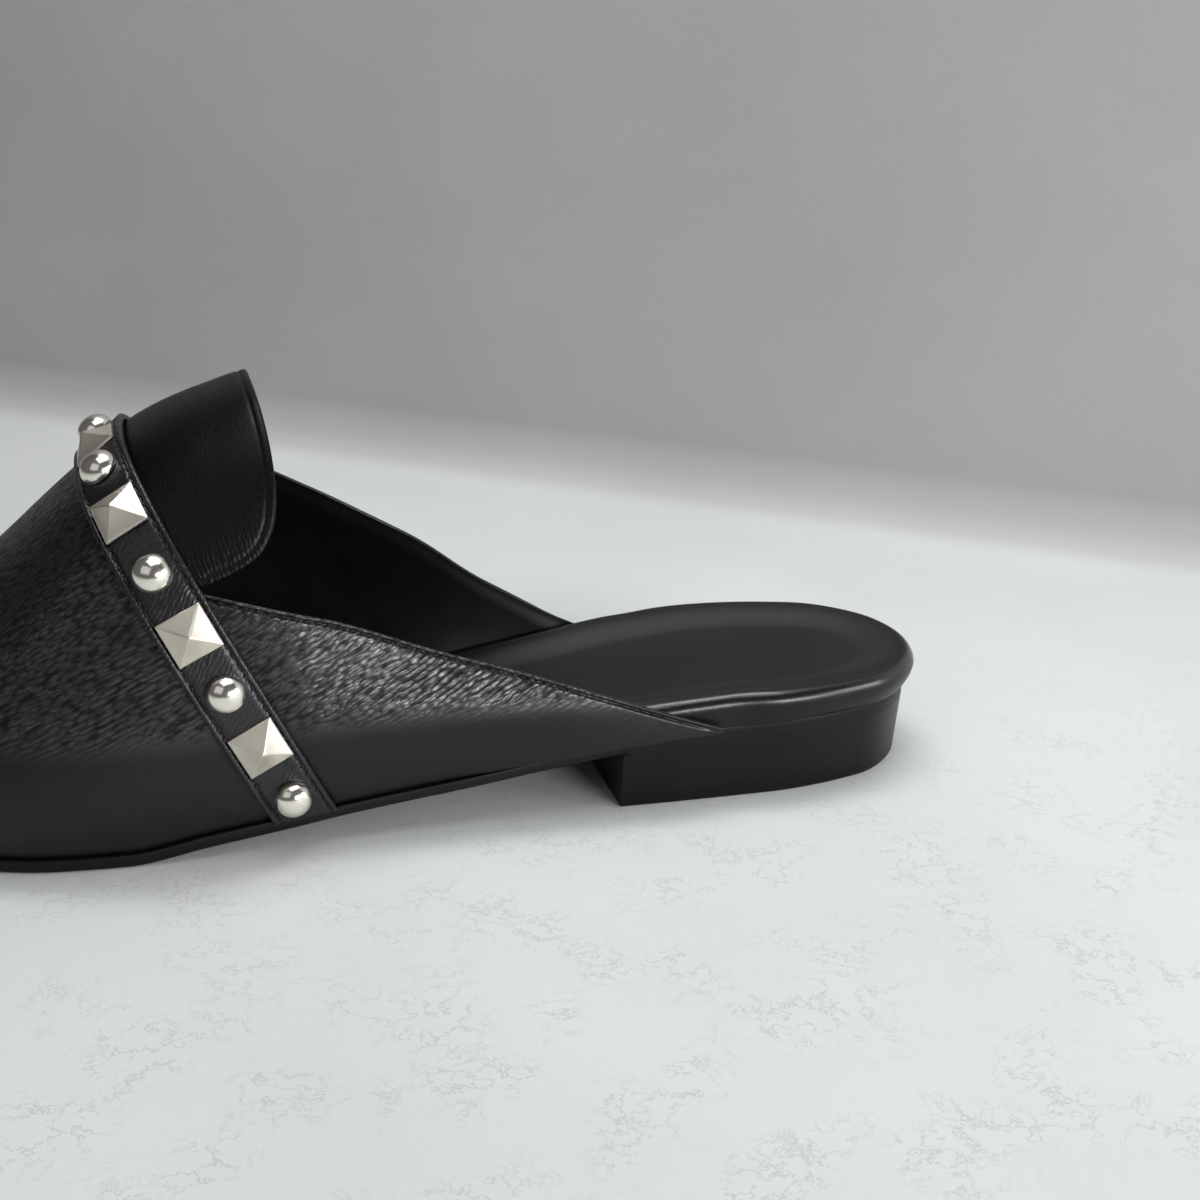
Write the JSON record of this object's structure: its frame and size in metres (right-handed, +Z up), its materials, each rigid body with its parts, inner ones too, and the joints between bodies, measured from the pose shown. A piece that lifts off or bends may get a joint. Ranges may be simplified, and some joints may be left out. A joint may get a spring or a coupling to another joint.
{
  "type": "backless loafer mule",
  "caption": "Flat black leather backless loafer for the left foot, with a slanted studded saddle strap, a standing tongue, a padded footbed and a low heel.",
  "frame": {"origin": "on the floor under the middle of the shoe's box", "axes": "toe towards -X, heel towards +X, outer side of the foot towards -Y, +Z up"},
  "size_m": [0.25, 0.0888, 0.0917],
  "materials": {
    "outsole": "satin moulded edge",
    "heel": "satin, smooth",
    "footbed": "matte smooth leather over padding, polished round the rim",
    "upper": "fine grained, semi gloss",
    "tongue": "fine grained, semi gloss",
    "strap": "smooth, semi gloss",
    "stud": "polished pale nickel"
  },
  "bodies": {
    "root": {"outsole": "outsole", "heel": "heel", "footbed": "footbed", "upper": "upper", "tongue": "tongue", "strap": "strap", "dome_stud_01": "stud", "pyramid_stud_02": "stud", "dome_stud_03": "stud", "pyramid_stud_04": "stud", "dome_stud_05": "stud", "pyramid_stud_06": "stud", "dome_stud_07": "stud", "pyramid_stud_08": "stud", "dome_stud_09": "stud", "pyramid_stud_10": "stud", "dome_stud_11": "stud", "pyramid_stud_12": "stud", "dome_stud_13": "stud", "pyramid_stud_14": "stud", "dome_stud_15": "stud"}
  },
  "joints": []
}
